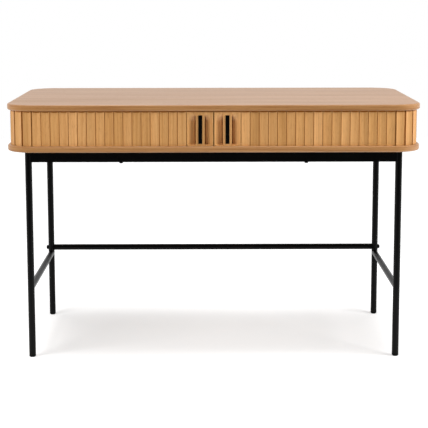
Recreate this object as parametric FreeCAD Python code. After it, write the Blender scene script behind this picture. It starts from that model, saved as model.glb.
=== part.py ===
"""Writing desk: a shallow cabinet with two tambour doors on a black round-tube frame.

Frame: millimetres, +X to the sitter's right, +Y to the back, +Z up, origin on the floor under the middle of the desk.
The right-hand half of each mirrored pair is modelled, and the left-hand half is its mirror image in the YZ plane.
"""

import FreeCAD
import Part
import math
import os

# Overall
WIDTH = 1200.0
DEPTH = 600.0
HEIGHT = 757.0

# Desk top and cabinet floor
PANEL_THICKNESS = 18.0
PANEL_CORNER_RADIUS = 80.0
PANEL_EDGE_EASE = 4.5
CABINET_CLEAR_HEIGHT = 101.0

# Tambour curtain: insets are measured inwards from the panels' outline
SLAT_PITCH = 26.0
SLAT_GAP = 0.8
SLAT_THICKNESS = 8.0
SLAT_INSET = 9.0
SLAT_FLUTE = 2.5
SLAT_LIP = 1.5
SLAT_EASE = 0.8
SLAT_FOOT_GAP = 0.5
SLAT_HEAD_GAP = 3.0
TONGUE_WIDTH = 14.0
TONGUE_THICKNESS = 5.0
TONGUE_TIP_GAP = 0.3
TRACK_DEPTH = 5.0
TRACK_OUTER_PLAY = 0.7
TRACK_INNER_PLAY = 0.4
CANVAS_THICKNESS = 0.8
CANVAS_HEIGHT = 84.0
CANVAS_GLUE_GAP = 0.05
CANVAS_END_GAP = 0.1

# Lead stile of each door, with its pull
LEAD_WIDTH = 78.0
LEAD_THICKNESS = 20.0
LEAD_REBATE = 8.0
LEAD_TONGUE_MARGIN = 8.0
MEETING_GAP = 2.0
RIB_WIDTH = 25.5
SCOOP_WIDTH = 23.0
SCOOP_DEPTH = 11.0
SCOOP_HEIGHT = 82.0
SCOOP_DROP = 6.5
SCOOP_END_ROUND = 3.5
QUIRK_WIDTH = 3.2
QUIRK_DEPTH = 4.0
PULL_WIDTH = 11.0
PULL_HEIGHT = 82.0
PULL_DROP = 3.0
PULL_POCKET_DEPTH = 6.0
PULL_PROUD = 2.0
PULL_EASE = 1.2
PULL_FIT = 0.1

# Stop block behind each front corner, which the lead stile meets when the door is open
STOP_LENGTH = 14.0
STOP_WIDTH = 12.0
STOP_HEIGHT = 30.0
STOP_CANVAS_GAP = 1.2
STOP_TRAVEL_GAP = 0.5
STOP_SCREW_DIAMETER = 4.0
STOP_SCREW_HEAD_DIAMETER = 8.0
STOP_SCREW_HEAD_HEIGHT = 2.4
STOP_SCREW_BITE = 11.0

# Walls inside the curtain's loop
WALL_THICKNESS = 12.0
WALL_INSET = 25.0
WALL_CURTAIN_GAP = 4.0
PARTITION_THICKNESS = 15.0
PARTITION_FRONT_GAP = 9.0
DOWEL_DIAMETER = 8.0
DOWEL_IN_PANEL = 9.0
DOWEL_IN_WALL = 18.0
DOWEL_FIT = 0.05
DOWEL_TIP_GAP = 0.5
DOWEL_SPACING = 160.0
BACK_DOWEL_SPACING = 240.0

# Outer back: a flat panel between two bent corner shells, held in a groove of the two boards
SKIN_THICKNESS = 4.0
SKIN_INSET = 3.5
SKIN_GROOVE_DEPTH = 4.0
SKIN_FIT = 0.15
SKIN_TIP_GAP = 0.2
SKIN_BUTT_GAP = 0.2
SHELL_LAP = 30.0

# Steel frame
LEG_DIAMETER = 20.0
LEG_WALL = 1.5
LEG_SIDE_INSET = 60.0
LEG_END_INSET = 64.0
RAIL_HEIGHT = 35.0
RAIL_WIDTH = 15.0
RAIL_WALL = 1.5
STRETCHER_DIAMETER = 19.0
STRETCHER_WALL = 1.5
REAR_STRETCHER_HEIGHT = 230.0
SIDE_STRETCHER_DROP = 20.0
WELD_GAP = 0.15

# Feet
GLIDE_HEIGHT = 8.0
GLIDE_CHAMFER = 3.0
GLIDE_STEM_LENGTH = 15.0
GLIDE_FIT = 0.1

# Bolted joint at each end of the rear stretcher
BOLT_DIAMETER = 8.0
BOLT_HEAD_DIAMETER = 13.0
BOLT_HEAD_HEIGHT = 4.0
BOLT_HEAD_DOME = 2.5
BOLT_BITE = 18.0
BOLT_HOLE_PLAY = 0.25
BOLT_THREAD_FIT = 0.05
SADDLE_DIAMETER = 14.0
SADDLE_CREST = 2.0
PLUG_LENGTH = 25.0
PLUG_SETBACK = 3.0
PLUG_FIT = 0.1

# Screws through the rails into the cabinet floor
SCREW_DIAMETER = 5.0
SCREW_HEAD_DIAMETER = 11.0
SCREW_HEAD_HEIGHT = 4.0
SCREW_HEAD_DOME = 2.0
SCREW_BITE = 12.0
SCREW_HOLE_PLAY = 0.3
SCREW_PILOT_FIT = 0.05
SCREW_TIP_GAP = 1.0
RAIL_SCREW_X = 270.0
RAIL_SCREW_Y = 110.0

# Levels worked out from the sizes above
FLOOR_TOP = HEIGHT - PANEL_THICKNESS - CABINET_CLEAR_HEIGHT
FRAME_TOP = FLOOR_TOP - PANEL_THICKNESS
TOP_UNDERSIDE = HEIGHT - PANEL_THICKNESS
SLAT_BOTTOM = FLOOR_TOP + SLAT_FOOT_GAP
SLAT_TOP = TOP_UNDERSIDE - SLAT_HEAD_GAP
TONGUE_BOTTOM = FLOOR_TOP - TRACK_DEPTH + TONGUE_TIP_GAP
TONGUE_TOP = TOP_UNDERSIDE + TRACK_DEPTH - TONGUE_TIP_GAP
CABINET_MIDDLE = (FLOOR_TOP + TOP_UNDERSIDE) / 2

# Plan of the curtain: the slats' backs follow a line inside the panels' outline
FRONT_RUN = WIDTH / 2 - PANEL_CORNER_RADIUS
SIDE_RUN = DEPTH - 2 * PANEL_CORNER_RADIUS
BACK_INSET = SLAT_INSET + SLAT_THICKNESS
BACK_RADIUS = PANEL_CORNER_RADIUS - BACK_INSET
CORNER_RUN = BACK_RADIUS * math.pi / 2
SLAT_FACE_Y = SLAT_INSET - DEPTH / 2
SLAT_BACK_Y = BACK_INSET - DEPTH / 2
LEAD_BACK_Y = SLAT_FACE_Y + LEAD_THICKNESS
CANVAS_OUTER_INSET = BACK_INSET + CANVAS_GLUE_GAP
CANVAS_INNER_INSET = CANVAS_OUTER_INSET + CANVAS_THICKNESS

# A door opens by whole pitches, so that an opened curtain's slats stand where closed ones stood
WHOLE = 1e-6
FRONT_SLATS = int((FRONT_RUN - LEAD_WIDTH) / SLAT_PITCH + WHOLE)
ALL_SLATS = int((FRONT_RUN + CORNER_RUN + SIDE_RUN - LEAD_WIDTH) / SLAT_PITCH + WHOLE)
GATHERED_SLATS = FRONT_SLATS - 1
DOOR_TRAVEL = GATHERED_SLATS * SLAT_PITCH
GATHER_X = LEAD_WIDTH + DOOR_TRAVEL

# Plan of the walls and the frame
WALL_X = WIDTH / 2 - WALL_INSET - WALL_THICKNESS / 2
WALL_REACH = PANEL_CORNER_RADIUS - CANVAS_INNER_INSET - WALL_CURTAIN_GAP
WALL_HALF_DEPTH = SIDE_RUN / 2 + math.sqrt(WALL_REACH**2 - (PANEL_CORNER_RADIUS - WALL_INSET) ** 2)
INNER_BACK_Y = WALL_HALF_DEPTH - WALL_THICKNESS / 2
PARTITION_FRONT_Y = LEAD_BACK_Y + PARTITION_FRONT_GAP
PARTITION_BACK_Y = WALL_HALF_DEPTH - WALL_THICKNESS
LEG_X = WIDTH / 2 - LEG_SIDE_INSET
LEG_Y = DEPTH / 2 - LEG_END_INSET
LEG_RADIUS = LEG_DIAMETER / 2
SIDE_STRETCHER_HEIGHT = REAR_STRETCHER_HEIGHT - SIDE_STRETCHER_DROP
SHELL_FRONT_Y = SIDE_RUN / 2 - SHELL_LAP

X_AXIS = FreeCAD.Vector(1, 0, 0)
Y_AXIS = FreeCAD.Vector(0, 1, 0)
Z_AXIS = FreeCAD.Vector(0, 0, 1)
ORIGIN = FreeCAD.Vector(0, 0, 0)


def box(low, high):
    """Box between two opposite corners."""
    size = [b - a for a, b in zip(low, high)]
    return Part.makeBox(*size, FreeCAD.Vector(*low))


def rod(radius, start, axis, length):
    """Round bar from a start point along an axis."""
    return Part.makeCylinder(radius, length, FreeCAD.Vector(*start), axis)


def mirrored(shape):
    """The left-hand twin of a right-hand piece."""
    return shape.mirror(ORIGIN, X_AXIS)


def edges_along(shape, axis):
    """Straight edges of a shape that run along an axis."""
    found = []
    for edge in shape.Edges:
        ends = [vertex.Point for vertex in edge.Vertexes]
        if len(ends) == 2 and (ends[1] - ends[0]).cross(axis).Length < WHOLE:
            found.append(edge)
    return found


def level_edges(shape, level):
    """Edges of a shape that lie at one height."""
    return [e for e in shape.Edges if abs(e.BoundBox.ZMin - level) + abs(e.BoundBox.ZMax - level) < WHOLE]


def board(inset, bottom, height):
    """Plate with the panels' rounded outline, drawn in by an inset."""
    x = WIDTH / 2 - inset
    y = DEPTH / 2 - inset
    plate = box((-x, -y, bottom), (x, y, bottom + height))
    return plate.makeFillet(PANEL_CORNER_RADIUS - inset, edges_along(plate, Z_AXIS))


def loop(outer_inset, inner_inset, bottom, height):
    """Closed band that follows the panels' outline between two insets."""
    return board(outer_inset, bottom, height).cut(board(inner_inset, bottom, height))


def behind(shape, front_y):
    """The part of a shape that lies behind a plane across the desk."""
    return shape.common(box((-WIDTH, front_y, 0), (WIDTH, DEPTH, 2 * HEIGHT)))


def dowel_places():
    """Plan positions of the dowels, under and over each inner wall."""
    rows = [y * DOWEL_SPACING for y in (-1, 0, 1)]
    places = [(x, y) for x in (-WALL_X, 0.0, WALL_X) for y in rows]
    places += [(x * BACK_DOWEL_SPACING, INNER_BACK_Y) for x in (-1.5, -0.5, 0.5, 1.5)]
    return places


def dowel_bars(radius, tip_gap):
    """Bars of one radius at every dowel's place, at the floor and at the top."""
    length = DOWEL_IN_PANEL + DOWEL_IN_WALL - 2 * tip_gap
    bars = []
    for x, y in dowel_places():
        bars.append(rod(radius, (x, y, FLOOR_TOP - DOWEL_IN_PANEL + tip_gap), Z_AXIS, length))
        bars.append(rod(radius, (x, y, TOP_UNDERSIDE - DOWEL_IN_WALL + tip_gap), Z_AXIS, length))
    return bars


def dowel_holes():
    """Holes that take the dowels."""
    return Part.makeCompound(dowel_bars(DOWEL_DIAMETER / 2 + DOWEL_FIT, 0.0))


def rail_screw_places():
    """Plan positions of the screws that hold the cabinet to the rails."""
    ends = [(x * RAIL_SCREW_X, y * LEG_Y) for x in (-1, 1) for y in (-1, 1)]
    sides = [(x * LEG_X, y * RAIL_SCREW_Y) for x in (-1, 1) for y in (-1, 1)]
    return ends + sides


def rail_screw_bars(radius, tip_gap):
    """Bars of one radius at every rail screw's place, from under the rails into the cabinet floor."""
    length = RAIL_HEIGHT + SCREW_BITE - tip_gap
    return [rod(radius, (x, y, FRAME_TOP - RAIL_HEIGHT), Z_AXIS, length) for x, y in rail_screw_places()]


def stop_block_box():
    """Corners of the right-hand stop block."""
    x = LEAD_WIDTH - LEAD_REBATE + DOOR_TRAVEL + STOP_TRAVEL_GAP
    y = CANVAS_INNER_INSET + STOP_CANVAS_GAP - DEPTH / 2
    return (x, y, FLOOR_TOP), (x + STOP_LENGTH, y + STOP_WIDTH, FLOOR_TOP + STOP_HEIGHT)


def stop_screw_bar(radius, bite):
    """Bar down through the middle of the right-hand stop block into the cabinet floor."""
    low, high = stop_block_box()
    middle = [(a + b) / 2 for a, b in zip(low, high)]
    return rod(radius, (middle[0], middle[1], high[2]), -Z_AXIS, STOP_HEIGHT + bite)


def track(bottom):
    """Groove for the slats' tongues, all the way round."""
    tongue_inset = SLAT_INSET + (SLAT_THICKNESS - TONGUE_THICKNESS) / 2
    outer = tongue_inset - TRACK_OUTER_PLAY
    inner = tongue_inset + TONGUE_THICKNESS + TRACK_INNER_PLAY
    return loop(outer, inner, bottom, TRACK_DEPTH)


def skin_groove(bottom):
    """Groove that holds the outer back and its corner shells."""
    band = loop(SKIN_INSET - SKIN_FIT, SKIN_INSET + SKIN_THICKNESS + SKIN_FIT, bottom, SKIN_GROOVE_DEPTH)
    return behind(band, SHELL_FRONT_Y - SKIN_FIT)


def eased_board(bottom):
    """Board with both its rims slightly rounded."""
    plate = board(0.0, bottom, PANEL_THICKNESS)
    rims = level_edges(plate, bottom) + level_edges(plate, bottom + PANEL_THICKNESS)
    return plate.makeFillet(PANEL_EDGE_EASE, rims)


def top_panel():
    """Desk top, with the tracks in its underside."""
    plate = eased_board(TOP_UNDERSIDE)
    return plate.cut([track(TOP_UNDERSIDE), skin_groove(TOP_UNDERSIDE), dowel_holes()])


def bottom_panel():
    """Cabinet floor, with the tracks in its face and the pilot holes for the frame's screws."""
    plate = eased_board(FRAME_TOP)
    stop_pilot = stop_screw_bar(STOP_SCREW_DIAMETER / 2 + SCREW_PILOT_FIT, STOP_SCREW_BITE + SCREW_TIP_GAP)
    cuts = [track(FLOOR_TOP - TRACK_DEPTH), skin_groove(FLOOR_TOP - SKIN_GROOVE_DEPTH), dowel_holes()]
    cuts += rail_screw_bars(SCREW_DIAMETER / 2 + SCREW_PILOT_FIT, 0.0)
    return plate.cut(cuts + [stop_pilot, mirrored(stop_pilot)])


def outer_skin():
    """The whole outer back, before it is cut into the flat panel and its corner shells."""
    tip = SKIN_GROOVE_DEPTH - SKIN_TIP_GAP
    band = loop(SKIN_INSET, SKIN_INSET + SKIN_THICKNESS, FLOOR_TOP - tip, CABINET_CLEAR_HEIGHT + 2 * tip)
    return behind(band, SHELL_FRONT_Y)


def back_panel():
    """Flat middle of the outer back."""
    x = FRONT_RUN - SKIN_BUTT_GAP / 2
    return outer_skin().common(box((-x, 0, 0), (x, DEPTH, 2 * HEIGHT)))


def rear_corner_shell():
    """Bent right-hand end of the outer back, which laps over the curtain's tail."""
    return outer_skin().common(box((FRONT_RUN + SKIN_BUTT_GAP / 2, 0, 0), (WIDTH, DEPTH, 2 * HEIGHT)))


def inner_wall():
    """Right-hand wall between the compartment and the curtain."""
    half = WALL_THICKNESS / 2
    low = (WALL_X - half, -WALL_HALF_DEPTH, FLOOR_TOP)
    high = (WALL_X + half, WALL_HALF_DEPTH, TOP_UNDERSIDE)
    return box(low, high).cut(dowel_holes())


def inner_back_wall():
    """Wall across the back of both compartments, between the side walls."""
    x = WALL_X - WALL_THICKNESS / 2
    low = (-x, PARTITION_BACK_Y, FLOOR_TOP)
    return box(low, (x, WALL_HALF_DEPTH, TOP_UNDERSIDE)).cut(dowel_holes())


def centre_partition():
    """Upright board that parts the two compartments."""
    half = PARTITION_THICKNESS / 2
    low = (-half, PARTITION_FRONT_Y, FLOOR_TOP)
    return box(low, (half, PARTITION_BACK_Y, TOP_UNDERSIDE)).cut(dowel_holes())


def carcass_dowels():
    """Every dowel between the boards and the walls."""
    return Part.makeCompound(dowel_bars(DOWEL_DIAMETER / 2, DOWEL_TIP_GAP))


def curtain_place(run):
    """Point on the right-hand curtain's back line, and its heading, at a distance from the middle of the front."""
    past_front = run - FRONT_RUN
    if past_front <= 0:
        return FreeCAD.Vector(run, SLAT_BACK_Y, 0), 0.0
    turn = min(past_front / BACK_RADIUS, math.pi / 2)
    past_corner = max(past_front - CORNER_RUN, 0.0)
    x = FRONT_RUN + BACK_RADIUS * math.sin(turn)
    y = -SIDE_RUN / 2 - BACK_RADIUS * math.cos(turn) + past_corner
    return FreeCAD.Vector(x, y, 0), math.degrees(turn)


def slat():
    """One slat with its back in the XZ plane: a strip with a fluted face, eased lips and a tongue at each end."""
    half = (SLAT_PITCH - SLAT_GAP) / 2
    strip = box((-half, -SLAT_THICKNESS, SLAT_BOTTOM), (half, 0, SLAT_TOP))
    front = [e for e in edges_along(strip, Z_AXIS) if e.Vertexes[0].Point.y < -SLAT_THICKNESS / 2]
    strip = strip.makeFillet(SLAT_EASE, front)
    shoulder = (SLAT_THICKNESS - TONGUE_THICKNESS) / 2
    low = (-TONGUE_WIDTH / 2, shoulder - SLAT_THICKNESS, TONGUE_BOTTOM)
    strip = strip.fuse(box(low, (TONGUE_WIDTH / 2, -shoulder, TONGUE_TOP)))
    radius = ((half - SLAT_LIP) ** 2 + SLAT_FLUTE**2) / (2 * SLAT_FLUTE)
    flute = rod(radius, (0, SLAT_FLUTE - SLAT_THICKNESS - radius, SLAT_BOTTOM), Z_AXIS, SLAT_TOP - SLAT_BOTTOM)
    return strip.cut(flute).removeSplitter()


def slats(first, last):
    """Right-hand slats from one number up to another, counted outwards from the lead stile."""
    pattern = slat()
    row = []
    for number in range(first, last):
        place, heading = curtain_place(LEAD_WIDTH + (number + 0.5) * SLAT_PITCH)
        copy = pattern.copy()
        copy.Placement = FreeCAD.Placement(place, FreeCAD.Rotation(Z_AXIS, heading))
        row.append(copy)
    return Part.makeCompound(row)


def front_slats():
    """Slats that an opening door carries round the corner."""
    return slats(0, GATHERED_SLATS)


def side_slats():
    """Last slat of the front, and those round the corner and along the side."""
    return slats(GATHERED_SLATS, ALL_SLATS)


def canvas_band():
    """Loop of canvas, from which the curtains' lengths are cut."""
    bottom = CABINET_MIDDLE - CANVAS_HEIGHT / 2
    return loop(CANVAS_OUTER_INSET, CANVAS_INNER_INSET, bottom, CANVAS_HEIGHT)


def front_canvas():
    """Canvas from the lead stile's rebate to the last slat of the front."""
    start = LEAD_WIDTH - LEAD_REBATE + CANVAS_END_GAP
    return canvas_band().common(box((start, -DEPTH, 0), (GATHER_X, 0, HEIGHT)))


def side_canvas():
    """Canvas behind the slats round the corner and along the side."""
    tail, _ = curtain_place(LEAD_WIDTH + ALL_SLATS * SLAT_PITCH)
    return canvas_band().common(box((GATHER_X, -DEPTH, 0), (WIDTH, tail.y, HEIGHT)))


def scoop(rib_side, outwards):
    """Cutter for a finger scoop, deepest in a narrow quirk beside the rib and running out at the face."""
    radius = (SCOOP_WIDTH**2 + SCOOP_DEPTH**2) / (2 * SCOOP_DEPTH)
    bottom = CABINET_MIDDLE - SCOOP_DROP - SCOOP_HEIGHT / 2
    top = bottom + SCOOP_HEIGHT
    centre_y = SLAT_FACE_Y + SCOOP_DEPTH - radius
    outside_y = SLAT_FACE_Y - SCOOP_DEPTH
    round_cut = rod(radius, (rib_side, centre_y, bottom), Z_AXIS, SCOOP_HEIGHT)
    ends = sorted((rib_side, rib_side + outwards * SCOOP_WIDTH))
    cove = round_cut.common(box((ends[0], outside_y, bottom), (ends[1], LEAD_BACK_Y, top)))
    end_arcs = [e for e in level_edges(cove, bottom) + level_edges(cove, top) if isinstance(e.Curve, Part.Circle)]
    cove = cove.makeFillet(SCOOP_END_ROUND, end_arcs)
    sides = sorted((rib_side, rib_side + outwards * QUIRK_WIDTH))
    low = (sides[0], outside_y, bottom + SCOOP_END_ROUND)
    high = (sides[1], SLAT_FACE_Y + SCOOP_DEPTH + QUIRK_DEPTH, top - SCOOP_END_ROUND)
    return cove.fuse(box(low, high))


def pull_box(margin, front_y, back_y):
    """Box of the pull strip's outline in the middle of the lead stile, drawn in by a margin."""
    x = LEAD_WIDTH / 2
    across = PULL_WIDTH / 2 - margin
    up = PULL_HEIGHT / 2 - margin
    middle = CABINET_MIDDLE - PULL_DROP
    return box((x - across, front_y, middle - up), (x + across, back_y, middle + up))


def lead_stile():
    """Right-hand lead stile: a rib between two finger scoops, with a rebate for the canvas behind its outer edge."""
    start = MEETING_GAP / 2
    end = LEAD_WIDTH - SLAT_GAP / 2
    step = LEAD_WIDTH - LEAD_REBATE
    stile = box((start, SLAT_FACE_Y, SLAT_BOTTOM), (end, LEAD_BACK_Y, SLAT_TOP))
    front = [e for e in edges_along(stile, Z_AXIS) if e.Vertexes[0].Point.y < SLAT_BACK_Y]
    stile = stile.makeFillet(SLAT_EASE, front)
    stile = stile.cut(box((step, SLAT_BACK_Y, 0), (WIDTH, LEAD_BACK_Y, HEIGHT)))
    shoulder = (SLAT_THICKNESS - TONGUE_THICKNESS) / 2
    low = (start + LEAD_TONGUE_MARGIN, SLAT_FACE_Y + shoulder, TONGUE_BOTTOM)
    stile = stile.fuse(box(low, (end - LEAD_TONGUE_MARGIN, SLAT_BACK_Y - shoulder, TONGUE_TOP)))
    rib = LEAD_WIDTH / 2
    scoops = [scoop(rib + side * RIB_WIDTH / 2, side) for side in (-1, 1)]
    pocket = pull_box(0.0, SLAT_FACE_Y - PULL_PROUD, SLAT_FACE_Y + PULL_POCKET_DEPTH)
    return stile.cut(scoops + [pocket]).removeSplitter()


def pull_inlay():
    """Right-hand black pull strip, let into the rib and standing a little proud of it."""
    strip = pull_box(PULL_FIT, SLAT_FACE_Y - PULL_PROUD, SLAT_FACE_Y + PULL_POCKET_DEPTH)
    front = [e for e in strip.Edges if e.BoundBox.YMax < SLAT_FACE_Y]
    return strip.makeFillet(PULL_EASE, front)


def door_stop():
    """Right-hand stop block, bored for its screw."""
    return box(*stop_block_box()).cut(stop_screw_bar(STOP_SCREW_DIAMETER / 2 + SCREW_HOLE_PLAY, 0.0))


def stop_screw():
    """Screw that holds the right-hand stop block down."""
    shank = stop_screw_bar(STOP_SCREW_DIAMETER / 2, STOP_SCREW_BITE)
    low, high = stop_block_box()
    middle = [(a + b) / 2 for a, b in zip(low, high)]
    head = rod(STOP_SCREW_HEAD_DIAMETER / 2, (middle[0], middle[1], high[2]), Z_AXIS, STOP_SCREW_HEAD_HEIGHT)
    return shank.fuse(head).removeSplitter()


def stop_screws():
    """Both stop blocks' screws."""
    screw = stop_screw()
    return Part.makeCompound([screw, mirrored(screw)])


def leg_cores(radius):
    """Full-height bars at the four legs' places."""
    places = [(x * LEG_X, y * LEG_Y) for x in (-1, 1) for y in (-1, 1)]
    return [rod(radius, (x, y, 0), Z_AXIS, FRAME_TOP) for x, y in places]


def bolt_bar(radius, start_x, length):
    """Bar inwards along the axis of the right-hand stretcher bolt."""
    return rod(radius, (start_x, LEG_Y, REAR_STRETCHER_HEIGHT), -X_AXIS, length)


def leg(side_y):
    """Right-hand leg tube; a rear one is bored for the stretcher's bolt."""
    place = (LEG_X, side_y * LEG_Y, GLIDE_HEIGHT)
    length = FRAME_TOP - GLIDE_HEIGHT
    tube = rod(LEG_RADIUS, place, Z_AXIS, length).cut(rod(LEG_RADIUS - LEG_WALL, place, Z_AXIS, length))
    if side_y < 0:
        return tube
    return tube.cut(bolt_bar(BOLT_DIAMETER / 2 + BOLT_HOLE_PLAY, LEG_X + LEG_DIAMETER, 2 * LEG_DIAMETER))


def glide(side_y):
    """Right-hand plastic foot with its stem up inside the leg."""
    x = LEG_X
    y = side_y * LEG_Y
    foot = rod(LEG_RADIUS, (x, y, 0), Z_AXIS, GLIDE_HEIGHT)
    foot = foot.makeChamfer(GLIDE_CHAMFER, level_edges(foot, 0.0))
    stem = rod(LEG_RADIUS - LEG_WALL - GLIDE_FIT, (x, y, GLIDE_HEIGHT), Z_AXIS, GLIDE_STEM_LENGTH)
    return foot.fuse(stem).removeSplitter()


def long_rail(side_y):
    """Rectangular tube between the two legs of the front or the back, coped to fit them."""
    bottom = FRAME_TOP - RAIL_HEIGHT
    y = side_y * LEG_Y
    half = RAIL_WIDTH / 2
    inside = half - RAIL_WALL
    outer = box((-LEG_X, y - half, bottom), (LEG_X, y + half, FRAME_TOP))
    inner = box((-LEG_X, y - inside, bottom + RAIL_WALL), (LEG_X, y + inside, FRAME_TOP - RAIL_WALL))
    holes = rail_screw_bars(SCREW_DIAMETER / 2 + SCREW_HOLE_PLAY, 0.0)
    return outer.cut([inner] + leg_cores(LEG_RADIUS + WELD_GAP) + holes)


def side_rail():
    """Right-hand rectangular tube between the front and the rear leg, coped to fit them."""
    bottom = FRAME_TOP - RAIL_HEIGHT
    half = RAIL_WIDTH / 2
    inside = half - RAIL_WALL
    outer = box((LEG_X - half, -LEG_Y, bottom), (LEG_X + half, LEG_Y, FRAME_TOP))
    inner = box((LEG_X - inside, -LEG_Y, bottom + RAIL_WALL), (LEG_X + inside, LEG_Y, FRAME_TOP - RAIL_WALL))
    holes = rail_screw_bars(SCREW_DIAMETER / 2 + SCREW_HOLE_PLAY, 0.0)
    reach = LEG_Y - half - WELD_GAP
    clear_of_long_rails = box((0, -reach, bottom), (WIDTH, reach, FRAME_TOP))
    return outer.cut([inner] + leg_cores(LEG_RADIUS + WELD_GAP) + holes).common(clear_of_long_rails)


def stretcher(start, axis, length):
    """Round tube between two legs, coped to fit them."""
    tube = rod(STRETCHER_DIAMETER / 2, start, axis, length)
    bore = rod(STRETCHER_DIAMETER / 2 - STRETCHER_WALL, start, axis, length)
    return tube.cut([bore] + leg_cores(LEG_RADIUS + WELD_GAP))


def side_stretcher():
    """Right-hand tube between the front and the rear leg, clear of the rear stretcher."""
    tube = stretcher((LEG_X, -LEG_Y, SIDE_STRETCHER_HEIGHT), Y_AXIS, 2 * LEG_Y)
    return tube.cut(bolt_bar(STRETCHER_DIAMETER / 2 + WELD_GAP, LEG_X, LEG_X))


def rear_stretcher():
    """Long tube between the rear legs."""
    return stretcher((-LEG_X, LEG_Y, REAR_STRETCHER_HEIGHT), X_AXIS, 2 * LEG_X)


def stretcher_plug():
    """Threaded plug inside the right-hand end of the rear stretcher."""
    start = LEG_X - LEG_RADIUS - PLUG_SETBACK
    plug = bolt_bar(STRETCHER_DIAMETER / 2 - STRETCHER_WALL - PLUG_FIT, start, PLUG_LENGTH)
    return plug.cut(bolt_bar(BOLT_DIAMETER / 2 + BOLT_THREAD_FIT, start, PLUG_LENGTH))


def stretcher_bolt():
    """Right-hand dome-headed bolt through the rear leg into the plug."""
    seat = LEG_X + LEG_RADIUS + SADDLE_CREST
    head = rod(BOLT_HEAD_DIAMETER / 2, (seat, LEG_Y, REAR_STRETCHER_HEIGHT), X_AXIS, BOLT_HEAD_HEIGHT)
    crown = [e for e in head.Edges if e.BoundBox.XMin > seat + BOLT_HEAD_HEIGHT / 2]
    head = head.makeFillet(BOLT_HEAD_DOME, crown)
    tip = LEG_X - LEG_RADIUS - PLUG_SETBACK - BOLT_BITE
    return head.fuse(bolt_bar(BOLT_DIAMETER / 2, seat, seat - tip)).removeSplitter()


def saddle_washer():
    """Right-hand washer with one side hollowed to sit on the round leg."""
    crest = LEG_X + LEG_RADIUS + SADDLE_CREST
    disc = bolt_bar(SADDLE_DIAMETER / 2, crest, SADDLE_CREST + LEG_RADIUS)
    hole = bolt_bar(BOLT_DIAMETER / 2 + BOLT_HOLE_PLAY, crest, LEG_DIAMETER)
    return disc.cut(leg_cores(LEG_RADIUS + WELD_GAP) + [hole])


def frame_screw(x, y):
    """Pan-headed screw up through a rail into the cabinet floor."""
    seat = FRAME_TOP - RAIL_HEIGHT
    head = rod(SCREW_HEAD_DIAMETER / 2, (x, y, seat - SCREW_HEAD_HEIGHT), Z_AXIS, SCREW_HEAD_HEIGHT)
    head = head.makeFillet(SCREW_HEAD_DOME, level_edges(head, seat - SCREW_HEAD_HEIGHT))
    shank = rod(SCREW_DIAMETER / 2, (x, y, seat), Z_AXIS, RAIL_HEIGHT + SCREW_BITE - SCREW_TIP_GAP)
    return head.fuse(shank).removeSplitter()


def frame_screws():
    """Every screw between the rails and the cabinet floor."""
    return Part.makeCompound([frame_screw(x, y) for x, y in rail_screw_places()])


def pair(name, shape):
    """A right-hand piece and its left-hand twin, by name."""
    return {"right_" + name: shape, "left_" + name: mirrored(shape)}


def all_pieces():
    """Every piece of the desk, by name."""
    pieces = {
        "top_panel": top_panel(),
        "bottom_panel": bottom_panel(),
        "back_panel": back_panel(),
        "inner_back_wall": inner_back_wall(),
        "centre_partition": centre_partition(),
        "carcass_dowels": carcass_dowels(),
        "stop_screws": stop_screws(),
        "front_rail": long_rail(-1),
        "rear_rail": long_rail(1),
        "rear_stretcher": rear_stretcher(),
        "frame_screws": frame_screws(),
    }
    pairs = {
        "rear_corner_shell": rear_corner_shell(),
        "inner_wall": inner_wall(),
        "lead_stile": lead_stile(),
        "pull_inlay": pull_inlay(),
        "front_slats": front_slats(),
        "side_slats": side_slats(),
        "front_canvas": front_canvas(),
        "side_canvas": side_canvas(),
        "door_stop": door_stop(),
        "front_leg": leg(-1),
        "rear_leg": leg(1),
        "front_glide": glide(-1),
        "rear_glide": glide(1),
        "side_rail": side_rail(),
        "side_stretcher": side_stretcher(),
        "stretcher_plug": stretcher_plug(),
        "stretcher_bolt": stretcher_bolt(),
        "saddle_washer": saddle_washer(),
    }
    for name, shape in pairs.items():
        pieces.update(pair(name, shape))
    return pieces


def main():
    """Write one STEP file per piece."""
    os.makedirs("parts", exist_ok=True)
    for name, shape in all_pieces().items():
        shape.exportStep("parts/" + name + ".step")
    print("front slats carried by each door:", GATHERED_SLATS, "of", ALL_SLATS, "door travel:", DOOR_TRAVEL, "mm")


main()
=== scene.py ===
"""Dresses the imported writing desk: oak boards, tambour slats, black pulls and a black steel frame.

It stands in a white studio. Metres, +X to the sitter's right, +Y to the back, +Z up, origin on the floor
under the middle of the desk.
"""

import logging
import math
import random
from dataclasses import dataclass
from enum import Enum
from typing import Any, Iterable, Optional

import bmesh
import bpy
from mathutils import Matrix, Vector

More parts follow.
